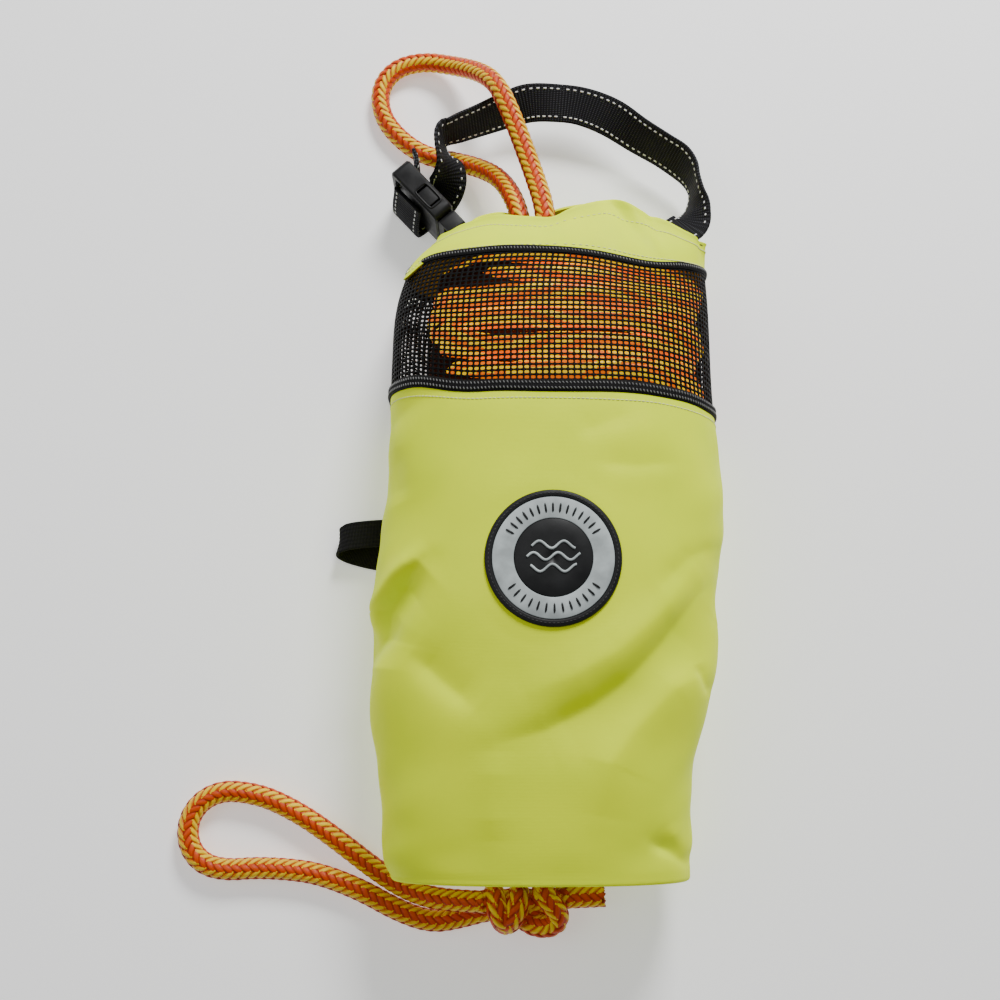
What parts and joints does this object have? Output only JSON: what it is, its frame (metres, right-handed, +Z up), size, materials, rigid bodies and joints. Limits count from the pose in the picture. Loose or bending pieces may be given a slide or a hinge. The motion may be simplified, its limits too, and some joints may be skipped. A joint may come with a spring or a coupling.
{
  "type": "throw rope bag",
  "caption": "Water rescue throw bag: stuffed drawstring bag with mesh window, floating rope with a loop at each end, and a webbing handle that opens with a side-release buckle.",
  "frame": {"origin": "centre of the flat back that the bag rests on", "axes": "+Z up through the front with the badge, +Y from the rope end of the bag to its mouth, +X to the right seen from the front"},
  "size_m": [0.2513, 0.4374, 0.0882],
  "materials": {
    "yellow_fabric": "fluorescent yellow-green coated nylon, plain weave, soft sheen",
    "mesh": "black PVC-coated mesh",
    "binding": "black woven binding tape",
    "rope": "braided floating polypropylene rope, orange and yellow strands",
    "foam": "closed-cell foam",
    "elastic": "black ribbed elastic",
    "webbing": "black ribbed webbing with white tracer threads",
    "buckle_plastic": "moulded black acetal, fine satin texture",
    "grommet_plastic": "moulded black plastic",
    "badge_rubber": "soft black moulded rubber",
    "badge_grey": "light grey moulded rubber",
    "hem_cord_fabric": "white braided cord"
  },
  "bodies": {
    "bag": {"body_shell": "yellow_fabric", "bottom_panel": "yellow_fabric", "collar": "yellow_fabric", "collar_hem": "yellow_fabric", "mesh_band": "mesh", "mesh_bottom_binding": "binding", "mesh_top_binding": "binding", "hem_cord": "hem_cord_fabric", "flotation_foam": "foam", "bottom_grommet": "grommet_plastic", "grommet_washer": "grommet_plastic", "rope_stuffing": "rope", "rope_top_loop": "rope", "rope_bottom_lead": "rope", "rope_bottom_knot": "rope", "rope_bottom_loop": "rope", "rope_tail": "rope", "badge_base": "badge_rubber", "badge_ring": "badge_grey", "badge_emblem": "badge_rubber", "left_anchor_tab": "webbing", "right_anchor_tab": "webbing", "belt_loop": "elastic"},
    "handle": {"handle_strap": "webbing", "left_anchor_strap": "webbing", "buckle_male_body": "buckle_plastic"},
    "buckle_female": {"buckle_female": "buckle_plastic", "handle_strap_end": "webbing"},
    "prong_upper": {"buckle_prong_upper": "buckle_plastic"},
    "prong_lower": {"buckle_prong_lower": "buckle_plastic"}
  },
  "joints": [
    {"name": "handle_swing", "type": "hinge", "parent": "bag", "child": "handle", "pos_m": [0.012, 0.16, 0.028], "axis": [1, 0, 0], "range_deg": [0, 95], "deforming": ["rope_top_loop", "handle_strap"]},
    {"name": "buckle_release", "type": "slide", "parent": "handle", "child": "buckle_female", "axis": [-0.6702, 0.7422, 0], "range_m": [0, 0.024], "deforming": ["buckle_prong_upper", "buckle_prong_lower"]},
    {"name": "prong_upper_press", "type": "hinge", "parent": "handle", "child": "prong_upper", "pos_m": [-0.049, 0.165, 0.027], "axis": [-0.7422, -0.6702, 0], "range_deg": [0, 12], "stiffness_Nm_per_rad": 0.05},
    {"name": "prong_lower_press", "type": "hinge", "parent": "handle", "child": "prong_lower", "pos_m": [-0.049, 0.165, 0.007], "axis": [0.7422, 0.6702, 0], "range_deg": [0, 12], "stiffness_Nm_per_rad": 0.05}
  ],
  "couplings": [
    {"joint": "prong_lower_press", "follows": "prong_upper_press", "ratio": 1}
  ]
}
